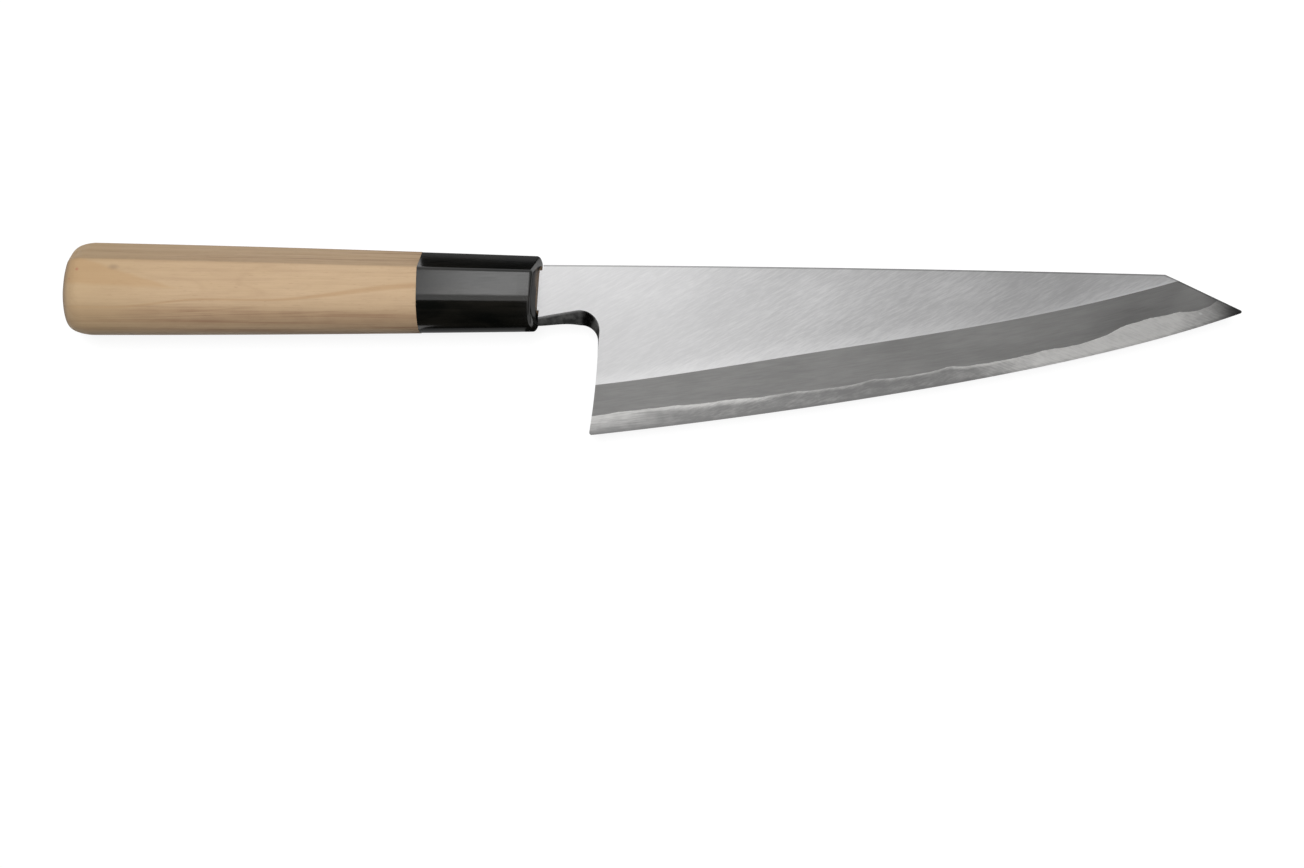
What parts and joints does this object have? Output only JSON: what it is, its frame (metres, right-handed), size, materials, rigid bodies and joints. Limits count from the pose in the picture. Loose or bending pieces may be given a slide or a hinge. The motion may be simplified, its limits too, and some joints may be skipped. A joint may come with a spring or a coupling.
{
  "type": "garasuki knife",
  "caption": "Poultry boning knife with a laminated single-bevel blade, a D-shaped wooden handle and a dark horn ferrule.",
  "frame": {"origin": "middle of the knife's length and of its height from edge to spine, at the level of the handle's lowest line", "axes": "+X from the handle's butt towards the blade's tip, +Y from the cutting edge towards the spine, +Z out of the bevelled face"},
  "size_m": [0.3262, 0.052, 0.0216],
  "materials": {
    "soft_iron": "satin, with fine slanting scratches on the flat and a hazy bevel",
    "hard_steel": "finer satin, brighter than the iron",
    "magnolia_wood": "bare, fine straight grain along the handle",
    "buffalo_horn": "polished",
    "pine_resin": "dull"
  },
  "bodies": {
    "root": {"blade_cladding": "soft_iron", "blade_edge_steel": "hard_steel", "handle_shaft": "magnolia_wood", "horn_ferrule": "buffalo_horn", "tang_seal": "pine_resin"}
  },
  "joints": []
}
